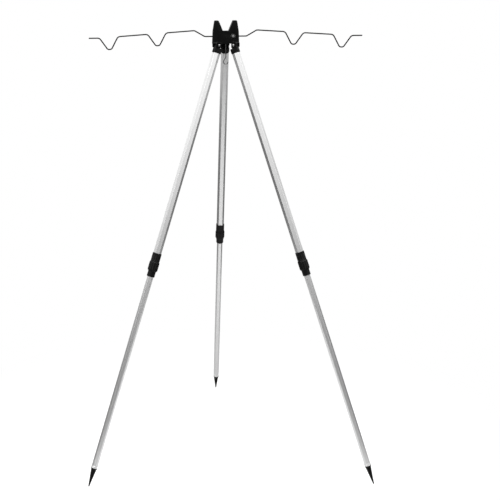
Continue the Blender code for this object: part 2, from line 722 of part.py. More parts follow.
def make_arm(side, axis):
    """One wire arm on the given side (-1 left, +1 right). It crosses the head to its pivot, turns and
    runs out through the front wall (left arm) or the rear wall (right arm) to its retainer."""
    name = "left" if side < 0 else "right"
    plane = side * ARM_SPACING / 2
    place = Matrix.Translation((-side * PIVOT_OFFSET, SLOT_Y, PIVOT_HEIGHT))
    pivot = empty(name + "_arm_pivot", place, axis)

    # Outwards from the slot's middle: the washer, the retainer and the wire's end inside it
    washer_low = HEAD_DEPTH / 2 - RECESS_DEPTH + GAP
    washer_high = washer_low + WASHER_THICKNESS
    low = washer_high + GAP
    high = low + RETAINER_HEIGHT
    end = high - RETAINER_SKIN - GAP

    bend = plane + side * WIRE_BEND
    elbow_steps = round(math.pi / 2 / BEND_STEP)
    points = [Vector((0, side * end, 0))]
    for step in range(elbow_steps + 1):
        angle = math.pi / 2 * step / elbow_steps
        out = WIRE_BEND * (1 - math.cos(angle))
        points.append(Vector((side * out, bend - side * WIRE_BEND * math.sin(angle), 0)))
    path = rounded([(WIRE_BEND, 0, 0), *arm_path()], closed=False)
    points += [Vector((side * out, plane, height)) for out, height in path[1:]]
    link(wire(name + "_arm", points, WIRE_RADIUS), BLACK_WIRE, pivot)

    outwards = Matrix.Rotation(side * math.pi / 2, 4, "X")
    hole = WIRE_RADIUS + GAP
    washer = turned(
        name + "_arm_washer",
        [(WASHER_RADIUS, washer_low), (WASHER_RADIUS, washer_high), (hole, washer_high), (hole, washer_low)],
        SMALL_STEPS,
    )
    link(washer, STEEL, pivot, outwards)
    retainer = turned(
        name + "_arm_retainer",
        [
            (RETAINER_RADIUS, low),
            (RETAINER_RADIUS, low + RETAINER_RIM),
            (RETAINER_DOME_RADIUS, low + RETAINER_DOME),
            (RETAINER_CROWN_RADIUS, high),
            (0, high),
            (0, high - RETAINER_SKIN),
            (hole, high - RETAINER_SKIN),
            (hole, low),
        ],
        SMALL_STEPS,
    )
    link(retainer, STEEL, pivot, outwards)


def main():
    axis = empty("head_axis", Matrix.Translation((0, AXIS_Y, HINGE_HEIGHT)))
    make_head(axis)
    make_hook(axis)
    for leg, azimuth in LEG_AZIMUTHS.items():
        make_leg(leg, azimuth, axis)
    for side in (-1, 1):
        make_arm(side, axis)
    for piece in PARTS.objects:
        if piece.type == "MESH":
            smooth(piece)


main()
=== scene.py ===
# %% [markdown]
# # A rod tripod, piece by piece
# This tripod holds fishing rods on a bank: a black head with a notch and a hook, two wire arms with two
# rests each, and three telescopic aluminium legs with twist locks and spikes. Its plain solids come in as a
# fixed frame. Each step below swaps one kind of piece for a finer surface, worked out with numpy, and
# later steps give each a finish made from shader nodes. The plain piece stays underneath for contact, so
# the finer one has to sit exactly where it is.

# %% Load the frame
import json
import math

import bmesh
import bpy
import numpy as np
from mathutils import Matrix, Vector


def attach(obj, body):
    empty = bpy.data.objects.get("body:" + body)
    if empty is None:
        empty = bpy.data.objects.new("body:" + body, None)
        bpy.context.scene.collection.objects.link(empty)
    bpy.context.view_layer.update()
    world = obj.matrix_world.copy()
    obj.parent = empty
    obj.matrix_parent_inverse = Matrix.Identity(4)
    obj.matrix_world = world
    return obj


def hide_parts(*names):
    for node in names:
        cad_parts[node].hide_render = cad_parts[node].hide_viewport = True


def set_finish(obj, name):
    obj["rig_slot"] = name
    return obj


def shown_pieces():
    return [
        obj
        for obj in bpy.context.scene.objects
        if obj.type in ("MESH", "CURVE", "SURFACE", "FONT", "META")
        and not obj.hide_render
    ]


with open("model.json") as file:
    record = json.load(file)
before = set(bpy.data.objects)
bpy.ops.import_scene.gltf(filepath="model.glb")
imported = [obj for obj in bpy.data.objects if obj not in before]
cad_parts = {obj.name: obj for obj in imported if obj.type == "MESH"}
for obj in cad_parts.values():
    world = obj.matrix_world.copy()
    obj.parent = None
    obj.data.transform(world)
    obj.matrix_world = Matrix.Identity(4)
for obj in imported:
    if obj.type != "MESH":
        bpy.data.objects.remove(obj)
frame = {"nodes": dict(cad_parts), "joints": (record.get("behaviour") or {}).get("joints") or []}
NODES = frame["nodes"]
JOINTS = {joint["name"]: joint for joint in frame["joints"]}
LEGS = ("front_left", "front_right", "rear")
MM = 0.001
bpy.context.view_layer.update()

# %% [markdown]
# ## The camera
# The photograph was taken from a little left of the middle and slightly above the head, with the tripod
# placed high and left in the picture. The camera's place is written from the point where the three legs'
# middle lines would meet, because that point was the easiest to find in the picture. Shift moves the
# frame over the object without turning the camera, so the legs keep their lean.

# %% Camera
UP = np.array((0.0, 0.0, 1.0))
HEAD_AXIS_Y = -0.10184
DEGREES_DOWN, DEGREES_PANNED, DEGREES_ROLLED = 9.03, 0.25, -0.62
CAMERA_STAND = Vector((-0.1887, -2.4626, 0.0670))  # from where the legs would meet, before the pan
rear_slope = np.array(JOINTS["rear_retract"]["axis"], float)
rear_lock = np.array(JOINTS["rear_lock_turn"]["pos_m"], float)
apex = rear_lock + rear_slope * (HEAD_AXIS_Y - rear_lock[1]) / rear_slope[1]

eye = bpy.data.objects.new("camera", bpy.data.cameras.new("camera"))
bpy.context.scene.collection.objects.link(eye)
pan = Matrix.Rotation(math.radians(DEGREES_PANNED), 4, "Z")
tilt = Matrix.Rotation(math.radians(90 - DEGREES_DOWN), 4, "X")
roll = Matrix.Rotation(math.radians(DEGREES_ROLLED), 4, "Z")
eye.location = Vector(apex) + pan @ CAMERA_STAND
eye.rotation_euler = (pan @ tilt @ roll).to_euler()
eye.data.sensor_width = 36
eye.data.lens = 70.34
eye.data.shift_x = 0.1967
eye.data.shift_y = -0.2
bpy.context.scene.camera = eye
print("the legs meet at", apex.round(4))

# %% [markdown]
# ## Surfaces from grids
# Nearly every piece here is round or hexagonal, so one helper makes them all: a grid of points whose
# columns run round the piece and whose rows run along it. A loop of rows makes a tube with a wall, and a
# row of no width is swapped for a single point, so that no seam or pole stays open.


# %% Grid to mesh
def placed(place, points):
    """Points given as three distances along a place's directions, moved to where the place starts."""
    return place[0] + points @ np.stack(place[1:])


def skin_mesh(name, place, grid, looped=False, first_pole=None, last_pole=None):
    """Quads between the points of a (rows, columns, 3) grid in the piece's own frame. The last column always
    joins the first, and the last row joins the first one when looped. A pole is a point, or a distance along
    the middle line, joined to its nearest row by triangles. Rows that run down while the columns run
    anticlockwise, seen from above, face outwards. The mesh keeps each point's own-frame place as the
    attribute own_place, for the finishes."""
    rows, columns = grid.shape[:2]
    index = np.arange(rows * columns).reshape(rows, columns)
    following = np.roll(index, -1, axis=0)
    if not looped:
        index, following = index[:-1], following[:-1]
    beside = np.roll(index, -1, axis=1)
    faces = np.stack([index, following, np.roll(following, -1, axis=1), beside], axis=-1).reshape(-1, 4)
    points = grid.reshape(-1, 3)
    faces = faces.tolist()
    for pole, row, order in ((first_pole, 0, (0, 1, 2)), (last_pole, rows - 1, (0, 2, 1))):
        if pole is not None:
            ring = np.arange(columns) + row * columns
            fan = np.stack([np.full(columns, len(points)), ring, np.roll(ring, -1)], axis=-1)
            faces += fan[:, order].tolist()
            points = np.vstack([points, pole if np.ndim(pole) else (0, 0, pole)])
    mesh = bpy.data.meshes.new(name)
    mesh.from_pydata(placed(place, points), [], faces)
    kept = mesh.attributes.new("own_place", "FLOAT_VECTOR", "POINT")
    kept.data.foreach_set("vector", points.astype(np.float32).ravel())
    mesh.update()
    return mesh


def show(name, mesh, body, slot, *replaced):
    """Puts a mesh in the scene, lets it ride on a body, hides the plain pieces it stands for and says which
    slot its finish comes from."""
    piece = bpy.data.objects.new(name, mesh)
    bpy.context.scene.collection.objects.link(piece)
    mesh.shade_smooth()
    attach(piece, body)
    if replaced:
        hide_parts(*replaced)
    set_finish(piece, slot)
    return piece


# %% [markdown]
# Corners on real pieces are rounded a little, and a bent wire turns on an arc. Both are the same shape: a
# line with corners, each swapped for an arc that touches its two runs.


# %% Rounded lines
def unit(vector):
    """The vector over its own length."""
    return vector / np.linalg.norm(vector)


def rounded_line(corners, step=math.radians(10)):
    """A line through (x, y, radius) corners. The arc at a corner starts radius / tan(half its angle) from
    it, and its centre is radius / sin(half its angle) along the line that halves the corner. The sign of
    the cross product of the two runs says which way the arc turns."""
    corners = np.asarray(corners, float)
    runs = [corners[:1, :2]]
    for before, here, after in zip(corners, corners[1:], corners[2:]):
        back = unit(before[:2] - here[:2])
        ahead = unit(after[:2] - here[:2])
        half = math.acos(np.clip(back @ ahead, -1, 1)) / 2
        radius = here[2]
        centre = here[:2] + unit(back + ahead) * radius / math.sin(half)
        spoke = here[:2] + back * radius / math.tan(half) - centre
        turn = math.copysign(math.pi - 2 * half, back[1] * ahead[0] - back[0] * ahead[1])
        angle = np.linspace(0, turn, max(2, math.ceil(abs(turn) / step) + 1))[:, None]
        runs.append(centre + spoke * np.cos(angle) + np.array((-spoke[1], spoke[0])) * np.sin(angle))
    runs.append(corners[-1:, :2])
    return np.concatenate(runs)


print(len(rounded_line([(0, 0, 0), (1, 0, 0.2), (1, 1, 0)])), "points for a line with one right angle")

# %% [markdown]
# ## Where a leg is
# Each leg leans out from the head. Its pieces are simplest to work out upright, as a distance down the
# leg's own middle line, so a leg's place is a point on that line and three directions: outwards, sideways
# and down. The joints in the frame give all of them.


# %% Leg places
def leg_place(leg):
    """Start, outward, sideways and down directions. The start is on the middle line, level with the pin."""
    down = -unit(np.array(JOINTS[leg + "_retract"]["axis"], float))
    pin = np.array(JOINTS[leg + "_fold"]["pos_m"], float)
    on_line = np.array(JOINTS[leg + "_lock_turn"]["pos_m"], float)
    start = on_line + down * (down @ (pin - on_line))
    sideways = unit(np.cross(UP, unit(down * (1, 1, 0))))
    return start, np.cross(sideways, -down), sideways, down


PLACES = {leg: leg_place(leg) for leg in LEGS}
print({leg: place[0].round(4).tolist() for leg, place in PLACES.items()})

# %% [markdown]
# ## Hexagonal tubes
# The legs are drawn aluminium tubes with six flats and slightly rounded corners. Six sharp corners would
# look like cut paper, so the outline is a hexagon whose corners are arcs of less than a millimetre. The
# points are bunched at the corners, because the flats need none.


# %% Hexagon outline
def hexagon(angles, flats, corner):
    """Distance from the middle to a rounded hexagon's edge. On a flat it is half the width across flats
    over the cosine of the angle from the flat's middle. On a corner it is the far crossing of the ray with
    a circle of the corner's radius, whose centre is (half - corner) / cos 30 degrees out."""
    half = flats / 2
    off = np.abs((angles + math.pi / 6) % (math.pi / 3) - math.pi / 6)
    flat_end = math.atan((half - corner) * math.tan(math.pi / 6) / half)
    centre = (half - corner) / math.cos(math.pi / 6)
    aside = math.pi / 6 - off
    arc = centre * np.cos(aside) + np.sqrt(np.maximum(corner**2 - (centre * np.sin(aside)) ** 2, 0))
    return np.where(off <= flat_end, half / np.cos(off), arc)


def rings(radii, depths, angles):
    """Grid rows at the depths: x = r cos(angle), y = r sin(angle)."""
    radii = np.broadcast_to(radii, (len(depths), len(angles)))
    depth = np.broadcast_to(np.asarray(depths, float)[:, None], radii.shape)
    return np.stack([radii * np.cos(angles), radii * np.sin(angles), depth], axis=-1)


corner_degrees = [-30, -29.3, -28.7, -28.1, -27.5, -26.8, 26.8, 27.5, 28.1, 28.7, 29.3]
TUBE_ANGLES = (np.arange(6)[:, None] * math.pi / 3 + np.radians(corner_degrees)).ravel()
ROUND_ANGLES = np.linspace(0, 2 * math.pi, 96, endpoint=False)
print(len(TUBE_ANGLES), "points round a tube")


# %% Tubes
OUTER_CORNER, INNER_CORNER = 0.7 * MM, 0.4 * MM


def tube_mesh(name, place, flats, wall, top, end):
    """Outer wall down and inner wall up, with the edges of the cut ends broken by a quarter millimetre. The
    profile is written as (width across flats, distance)."""
    edge = 0.25 * MM
    outer, inner = flats, flats - 2 * wall
    profile = [
        (outer - 2 * edge, top),
        (outer, top + edge),
        (outer, top + 4 * edge),
        (outer, end - 4 * edge),
        (outer, end - edge),
        (outer - 2 * edge, end),
        (inner + 2 * edge, end),
        (inner, end - edge),
        (inner, top + edge),
        (inner + 2 * edge, top),
    ]
    corners = [OUTER_CORNER] * 6 + [INNER_CORNER] * 4
    radii = np.array([hexagon(TUBE_ANGLES, across, corner) for (across, _), corner in zip(profile, corners)])
    grid = rings(radii, [depth for _, depth in profile], TUBE_ANGLES)
    return skin_mesh(name, place, grid, looped=True)


UPPER_TUBE = {"flats": 17.5 * MM, "wall": 1.2 * MM, "top": 19.3 * MM, "end": 552.1 * MM}
LOWER_TUBE = {"flats": 13.5 * MM, "wall": 1.0 * MM, "top": 552.4 * MM, "end": 1087.4 * MM}
for leg, place in PLACES.items():
    upper = tube_mesh(leg + "_upper_tube_fine", place, **UPPER_TUBE)
    show(upper.name, upper, leg + "_upper_leg", "satin_aluminium", leg + "_upper_tube")
    lower = tube_mesh(leg + "_lower_tube_fine", place, **LOWER_TUBE)
    show(lower.name, lower, leg + "_lower_leg", "satin_aluminium", leg + "_lower_tube")
print(2 * len(PLACES), "tubes")

# %% [markdown]
# ## Twist locks
# A collar is fixed on the upper tube's end. Under it, a nut closes a split collet on the lower tube. Both
# are black mouldings with lengthwise ribs for a wet hand. The ribs are a wave in the radius that fades out
# towards the ends, so one formula gives the whole grip.


# %% Ribbed radius
RIBS = 12
GROOVE_SHARPNESS = 1.6  # above 1 it makes the ribs broader than the grooves
GROOVE_FADE = 2.2 * MM
GRIP_ANGLES = np.linspace(0, 2 * math.pi, 24 * RIBS, endpoint=False)


def ribbed(radii, depths, top, end, deepest):
    """The radii less a groove between ribs. The groove is its deepest value times a sharpened wave round the
    piece, times a fade from 0 at both ends of the grip to 1 inside it."""
    wave = (0.5 - 0.5 * np.cos(RIBS * GRIP_ANGLES)) ** GROOVE_SHARPNESS
    fade = np.clip(np.minimum(depths - top, end - depths) / GROOVE_FADE, 0, 1)
    fade = fade * fade * (3 - 2 * fade)
    return radii[:, None] - deepest * fade[:, None] * wave[None, :]


def lock_collar_mesh(name, place):
    """A ribbed sleeve, its neck, and a hexagonal seat for the upper tube above a hexagonal way for the
    lower one. Rows are added down the sleeve, because the ribs bend only where there are rows."""
    top, ledge, end, neck_end = 539.0 * MM, 552.4 * MM, 560.3 * MM, 569.0 * MM
    radius, neck = 11.3 * MM, 9.4 * MM
    straight_top = top + 3.6 * MM
    shell = rounded_line(
        [
            (radius - 1.2 * MM, top, 0),
            (radius - 0.1 * MM, top, 0.9 * MM),
            (radius, top + 3.2 * MM, 2 * MM),
            (radius - 0.1 * MM, end, 0.7 * MM),
            (neck, end, 0.2 * MM),
            (neck, neck_end, 0.4 * MM),
            (neck - 0.8 * MM, neck_end, 0),
        ]
    )
    sleeve = np.linspace(straight_top, end - 1.5 * MM, 24)
    split = np.searchsorted(shell[:, 1], straight_top)
    radii = np.concatenate([shell[:split, 0], np.full(len(sleeve), radius), shell[split:, 0]])
    depths = np.concatenate([shell[:split, 1], sleeve, shell[split:, 1]])
    grip = ribbed(radii, depths, top + 2.4 * MM, end - 1 * MM, deepest=0.9 * MM)
    way = hexagon(GRIP_ANGLES, flats=14.0 * MM, corner=0.6 * MM)
    seat = hexagon(GRIP_ANGLES, flats=18.1 * MM, corner=1.2 * MM)
    inside = np.stack([way, way, seat, seat])
    grid = rings(np.vstack([grip, inside]), [*depths, neck_end, ledge, ledge, top], GRIP_ANGLES)
    return skin_mesh(name, place, grid, looped=True)


def lock_nut_mesh(name, place):
    """A ribbed barrel, then a plain sleeve, with a round bore that narrows below the collet. The barrel gets
    added rows as the collar does, and the sleeve and the bore keep their plain radii."""
    top, collet_end, shoulder, end = 560.6 * MM, 583.3 * MM, 585.1 * MM, 599.9 * MM
    radius, sleeve, bore, mouth = 12.6 * MM, 9.9 * MM, 9.7 * MM, 8.25 * MM
    arc_end = 4 * MM  # how far the barrel's end arcs reach in from its ends
    shell = rounded_line(
        [
            (bore + 0.3 * MM, top, 0),
            (radius - 1.3 * MM, top, 0.5 * MM),
            (radius, top + 3.0 * MM, 4 * MM),
            (radius, shoulder - 3.0 * MM, 4 * MM),
            (radius - 1.3 * MM, shoulder, 0.6 * MM),
            (sleeve, shoulder, 0.4 * MM),
            (sleeve, end, 1.2 * MM),
            (mouth, end, 0.2 * MM),
            (mouth, collet_end, 0),
            (bore, collet_end, 0),
            (bore, top, 0),
        ],
        step=math.radians(8),
    )
    split = np.argmax(shell[:, 1] > top + arc_end)
    barrel = np.linspace(top + arc_end + 0.2 * MM, shoulder - arc_end - 0.2 * MM, 22)
    radii = np.concatenate([shell[:split, 0], np.full(len(barrel), radius), shell[split:, 0]])
    depths = np.concatenate([shell[:split, 1], barrel, shell[split:, 1]])
    grip = ribbed(radii, depths, top + 0.8 * MM, shoulder - 0.8 * MM, deepest=1.1 * MM)
    on_barrel = radii > 11 * MM  # its sleeve and bore are narrower
    grid = rings(np.where(on_barrel[:, None], grip, radii[:, None]), depths, GRIP_ANGLES)
    return skin_mesh(name, place, grid, looped=True)


for leg, place in PLACES.items():
    collar = lock_collar_mesh(leg + "_lock_collar_fine", place)
    show(collar.name, collar, leg + "_upper_leg", "lock_plastic", leg + "_lock_collar")
    nut = lock_nut_mesh(leg + "_lock_nut_fine", place)
    show(nut.name, nut, leg + "_lock", "lock_plastic", leg + "_lock_nut")
    print(leg, len(collar.polygons) + len(nut.polygons), "faces in its lock")

# %% [markdown]
# ## Feet
# At the end of each lower tube sits a flared aluminium ring, and under it a black spike that tapers from
# six flats to a blunt point. The spike's outline is a round collar at its top and a rounded hexagon that
# shrinks in a straight line, so every row is the same hexagon at another size.


# %% Ferrules and spikes
def ferrule_mesh(name, place):
    """A ring that flares towards the ground, with a plain round bore."""
    top, end = 1087.7 * MM, 1092.6 * MM
    bore = 5.75 * MM
    shell = rounded_line(
        [
            (bore + 0.25 * MM, top, 0),
            (7.8 * MM, top, 0.4 * MM),
            (7.95 * MM, top + 2.4 * MM, 3 * MM),
            (8.3 * MM, end, 0.5 * MM),
            (bore + 0.25 * MM, end, 0),
        ]
    )
    profile = np.vstack([shell, [(bore, end), (bore, top)]])
    grid = rings(profile[:, :1], profile[:, 1], ROUND_ANGLES)
    return skin_mesh(name, place, grid, looped=True)


def spike_mesh(name, place):
    """A stem, a collar and a hexagonal taper, whose corners draw in evenly from its base to its tip. The
    last rows shrink by a quarter circle, which makes the tip blunt, and the hexagon's own corners are
    rounded in the same proportion all the way down."""
    stem_top, collar_top, base, tip = 1067.9 * MM, 1092.9 * MM, 1096.2 * MM, 1141.2 * MM
    stem, collar = 5.45 * MM, 7.6 * MM
    base_radius, tip_radius = 7.1 * MM, 1.2 * MM
    nose_length = 1.4 * MM
    round_part = rounded_line(
        [
            (4.0 * MM, stem_top, 0),
            (stem, stem_top, 0.6 * MM),
            (stem, collar_top, 0.1 * MM),
            (collar, collar_top, 0.5 * MM),
            (collar, base, 0.5 * MM),
            (7.0 * MM, base, 0),
        ]
    )
    span = np.linspace(0, 1, 40)
    size = base_radius + (tip_radius - base_radius) * span
    taper_depths = base + (tip - base) * span
    into_nose = ((taper_depths - (tip - nose_length)) / nose_length).clip(0, 1)
    nose = np.sqrt(np.clip(1 - into_nose**2, 0.02, 1))
    unit_hexagon = hexagon(ROUND_ANGLES, flats=2 * math.cos(math.pi / 6), corner=0.18)
    radii = np.vstack(
        [
            np.broadcast_to(round_part[:, :1], (len(round_part), len(ROUND_ANGLES))),
            (size * nose)[1:, None] * unit_hexagon,
        ]
    )
    depths = np.concatenate([round_part[:, 1], taper_depths[1:]])
    grid = rings(radii, depths, ROUND_ANGLES)
    return skin_mesh(name, place, grid, first_pole=stem_top, last_pole=tip)


for leg, place in PLACES.items():
    ferrule = ferrule_mesh(leg + "_ferrule_fine", place)
    show(ferrule.name, ferrule, leg + "_lower_leg", "satin_aluminium", leg + "_ferrule")
    spike = spike_mesh(leg + "_spike_fine", place)
    show(spike.name, spike, leg + "_lower_leg", "black_plastic", leg + "_spike")
print("3 ferrules and 3 spikes")

# %% [markdown]
# ## Rivets, washers and retainers
# Each leg turns on a riveted steel pin, and each arm's end is held by a washer and a domed push-on cap.
# They are turned shapes, so each is a profile carried round its own middle line. For the arms, the line
# runs out of the head through the wall that the wire's end comes out of.


# %% Turned hardware
def turned_mesh(name, place, corners, first_pole=None, last_pole=None, looped=False):
    """A profile of (radius, distance, bend) corners carried round a line."""
    profile = rounded_line(corners, step=math.radians(15))
    angles = ROUND_ANGLES[::2]
    grid = rings(profile[:, :1], profile[:, 1], angles)
    return skin_mesh(name, place, grid, looped, first_pole, last_pole)


def line_place(start, along):
    """A place whose down direction is along the line. The other two make a right-handed set with it."""
    across = unit(np.cross(along, UP))
    return start, across, np.cross(-along, across), along


# %% [markdown]
# A rivet is the same at both ends, so one end is written as (radius, distance from the middle, bend) and the
# other is its mirror image. The washers and retainers are measured from the arms' pivots.

# %% Rivets, washers and retainers
ear_face, crown = 10.3 * MM, 11.8 * MM
shank, rim = 2.0 * MM, 3.0 * MM
RIVET_END = [
    (1.0 * MM, -crown, 0),
    (1.7 * MM, -crown + 0.02 * MM, 1.2 * MM),
    (rim, -ear_face - 0.7 * MM, 0.8 * MM),
    (rim, -ear_face, 0.1 * MM),
    (shank, -ear_face, 0.1 * MM),
]
RIVET = RIVET_END + [(radius, -at, bend) for radius, at, bend in reversed(RIVET_END)]

wire_hole = 1.9 * MM
head_side, cap_side, washer_radius = 12.6 * MM, 13.4 * MM, 6.2 * MM
WASHER = [
    (wire_hole, 12.75 * MM, 0),
    (wire_hole, head_side, 0.05 * MM),
    (washer_radius, head_side, 0.25 * MM),
    (washer_radius, cap_side, 0.25 * MM),
    (wire_hole, cap_side, 0.05 * MM),
    (wire_hole, 13.25 * MM, 0),
]

mouth, hole_end, dome_top, flange = 13.7 * MM, 15.6 * MM, 16.5 * MM, 5.6 * MM
RETAINER = [
    (1.0 * MM, hole_end, 0),
    (wire_hole, hole_end, 0.05 * MM),
    (wire_hole, mouth, 0.1 * MM),
    (flange, mouth, 0.2 * MM),
    (flange, mouth + 0.8 * MM, 0.25 * MM),
    (4.3 * MM, 15.8 * MM, 1.6 * MM),
    (2.4 * MM, 16.48 * MM, 2.6 * MM),
    (1.0 * MM, dome_top, 0),
]

for leg in LEGS:
    pin = JOINTS[leg + "_fold"]
    rivet_line = line_place(np.array(pin["pos_m"], float), unit(np.array(pin["axis"], float)))
    rivet = turned_mesh(leg + "_hinge_pin_fine", rivet_line, RIVET, -crown, crown)
    show(rivet.name, rivet, "head", "zinc_plated_steel", leg + "_hinge_pin")

ARM_SIDES = {"left": -1, "right": 1}
for name, side in ARM_SIDES.items():
    pivot = np.array(JOINTS[name + "_arm_fold"]["pos_m"], float)
    pivot_line = line_place(pivot, np.array((0.0, float(side), 0.0)))
    washer = turned_mesh(name + "_arm_washer_fine", pivot_line, WASHER, looped=True)
    show(washer.name, washer, "head", "zinc_plated_steel", name + "_arm_washer")
    retainer = turned_mesh(name + "_arm_retainer_fine", pivot_line, RETAINER, hole_end, dome_top)
    show(retainer.name, retainer, name + "_arm", "zinc_plated_steel", name + "_arm_retainer")
print("3 rivets, 2 washers, 2 retainers")

# %% [markdown]
# ## Wire arms and hook
# Each arm is one length of 3.2 mm wire, bent in a flat plane into a crank and two V rests with rounded
# bottoms, and turned at a right angle into the head. The hook under the head is 2 mm wire. A circle carried
# along a line makes both. The circle's own directions come from the line's tangent and a direction square
# to it, which is written down along with the line, so the wire never twists.


# %% Wire
WIRE_ANGLES = np.linspace(0, 2 * math.pi, 24, endpoint=False)
DOME = np.radians([75, 55, 30, 0])  # an end's rings, from near its tip to the full radius


def wire_mesh(name, place, line, across, radius):
    """A ring round each point of the line: centre + r (cos a * across + sin a * across x tangent). The
    tangent halves the turn at each point, and both ends close with small domes inside the wire's length."""
    steps = np.diff(line, axis=0)
    steps /= np.linalg.norm(steps, axis=1)[:, None]
    tangent = np.vstack([steps[:1], steps]) + np.vstack([steps, steps[-1:]])
    tangent /= np.linalg.norm(tangent, axis=1)[:, None]
    inset = (0.6 * radius * (1 - np.sin(DOME)))[:, None]
    centres = np.vstack([line[0] + tangent[0] * inset, line[1:-1], line[-1] - tangent[-1] * inset[::-1]])
    rows, last = len(DOME), len(line) - 1
    sizes = np.full(len(centres), radius)
    sizes[:rows] = radius * np.cos(DOME)
    sizes[-rows:] = sizes[rows - 1 :: -1]
    ring = np.concatenate([np.zeros(rows, int), np.arange(1, last), np.full(rows, last)])
    other = np.cross(across, tangent)
    cosine, sine = np.cos(WIRE_ANGLES)[:, None], np.sin(WIRE_ANGLES)[:, None]
    spokes = across[ring][:, None] * cosine + other[ring][:, None] * sine
    grid = centres[:, None] + sizes[:, None, None] * spokes
    print(name, round(1000 * np.linalg.norm(np.diff(line, axis=0), axis=1).sum()), "mm of wire")
    return skin_mesh(name, place, grid, first_pole=line[0], last_pole=line[-1])


# %% Arms
ARM_WIRE_RADIUS = 1.6 * MM
ARM_WIRE_END = 15.3 * MM  # from the slot's middle plane, inside the retainer
ARM_PLANE = 1.9 * MM  # the right arm lies this far behind the slot's middle plane, the left one before it
ELBOW_BEND = 3.2 * MM
CRANK_START, CRANK_BEND = 70.5 * MM, 9 * MM
CRANK_TOP = np.array((96.3, 14.9)) * MM
DROOP = math.radians(3.9)
REST_MIDDLES = (94.5 * MM, 215.7 * MM)  # along the wire from the crank's top
REST_CORNERS = ((-23.2, 0, 10), (-4.7, 30.2, 6.8), (4.7, 30.2, 6.8), (23.2, 0, 10))  # in mm
TAIL_END, TAIL_RISE = 266.0 * MM, 1.8 * MM  # along the wire from the crank's top, and above its line


def arm_corners():
    """Corners of an arm as (distance out, height above the pivot, bend). Past the crank the wire droops, and
    each rest hangs square to it. A rest's corners are (along from its middle, below the wire, bend)."""
    along = np.array((math.cos(DROOP), -math.sin(DROOP)))
    down = np.array((-math.sin(DROOP), -math.cos(DROOP)))
    corners = [(CRANK_START, 0, CRANK_BEND), (*CRANK_TOP, CRANK_BEND)]
    for middle in REST_MIDDLES:
        for reach, depth, bend in REST_CORNERS:
            corners.append((*(CRANK_TOP + along * (middle + reach * MM) + down * depth * MM), bend * MM))
    tip = CRANK_TOP + along * TAIL_END - down * TAIL_RISE
    return [*corners, (*tip, 0)]


def arm_mesh(name, side):
    """From inside the retainer, the wire runs into the slot, turns through a quarter circle and follows the
    arm's flat shape. In the quarter circle the direction across turns with it. The right arm is worked
    out, and half a turn about the upright makes the left one."""
    flat = rounded_line([(ELBOW_BEND, 0, 0), *arm_corners()], step=math.radians(6))[1:]
    turn = np.linspace(0, math.pi / 2, 10)
    out, aside = ELBOW_BEND * (1 - np.cos(turn)), ELBOW_BEND * (1 - np.sin(turn))
    elbow = np.stack([out, ARM_PLANE + aside, 0 * turn], axis=1)
    run = np.stack([flat[:, 0], np.full(len(flat), ARM_PLANE), flat[:, 1]], axis=1)
    line = np.vstack([[(0, ARM_WIRE_END, 0)], elbow, run]) * (side, side, 1)
    turns = np.concatenate([[0], turn, np.full(len(run), math.pi / 2)])
    across = -side * np.stack([np.cos(turns), np.sin(turns), 0 * turns], axis=1)
    pivot = (np.array(JOINTS[name + "_arm_fold"]["pos_m"], float), *np.eye(3))
    return wire_mesh(name + "_arm_fine", pivot, line, across, ARM_WIRE_RADIUS)


for name, side in ARM_SIDES.items():
    arm = arm_mesh(name, side)
    show(arm.name, arm, name + "_arm", "black_coated_wire", name + "_arm")


# %% Hook
HOOK_WIRE_RADIUS = 1.0 * MM
HOOK_AHEAD = 9.3 * MM  # from the slot's middle plane forward to the hook
HOOK_SHANK = ((0, 11.4, 0), (0, -30, 4))
HOOK_BOWL = ((-5.5, -40, 4), (-5.5, -48, 5.4), (5.3, -48, 5.4), (5.3, -42, 0))


def hook_mesh():
    """A shank in the head's front wall, a bend aside and a half round bowl, all in one plane. Its corners are
    (aside, above the hinge pins, bend) in millimetres."""
    flat = rounded_line(np.array(HOOK_SHANK + HOOK_BOWL) * MM, step=math.radians(8))
    line = np.stack([flat[:, 0], 0 * flat[:, 0], flat[:, 1]], axis=1)
    across = np.broadcast_to((0.0, 1.0, 0.0), line.shape)
    height = JOINTS["rear_fold"]["pos_m"][2]
    wall = JOINTS["left_arm_fold"]["pos_m"][1] - HOOK_AHEAD
    place = (np.array((0, wall, height)), *np.eye(3))
    return wire_mesh("weight_hook_fine", place, line, across, HOOK_WIRE_RADIUS)


show("weight_hook_fine", hook_mesh(), "head", "zinc_plated_steel", "weight_hook")

# %% [markdown]
# ## Head and leg caps
# The head and the three caps are mouldings with pockets, holes and slots, which no single grid gives. A
# copy of each plain solid is merged into whole faces, and a small bevel gives it the soft edges of
# moulded plastic, which catch the light.


# %% Bevelled copies
WELD_WITHIN = 0.005 * MM
STILL_FLAT = math.radians(1)
EDGE_FROM = math.radians(28)  # gentler turns belong to curved faces and stay unbevelled


def moulded_copy(node, body, slot, edge):
    """A copy of a plain solid with its loose triangles welded, its flat faces joined and its edges
    rounded."""
    shape = bmesh.new()
    shape.from_mesh(NODES[node].data)
    bmesh.ops.remove_doubles(shape, verts=shape.verts, dist=WELD_WITHIN)
    bmesh.ops.dissolve_limit(
        shape, angle_limit=STILL_FLAT, verts=shape.verts, edges=shape.edges, delimit={"NORMAL"}
    )
    mesh = bpy.data.meshes.new(node + "_fine")
    shape.to_mesh(mesh)
    shape.free()
    piece = show(mesh.name, mesh, body, slot, node)
    bevel = piece.modifiers.new("soft edges", "BEVEL")
    bevel.width = edge
    bevel.segments = 3
    bevel.limit_method = "ANGLE"
    bevel.angle_limit = EDGE_FROM
    bevel.harden_normals = True


moulded_copy("head", "head", "black_plastic", 0.5 * MM)
for leg in LEGS:
    moulded_copy(leg + "_cap", leg + "_upper_leg", "black_plastic", 0.4 * MM)
print("head and caps rounded")

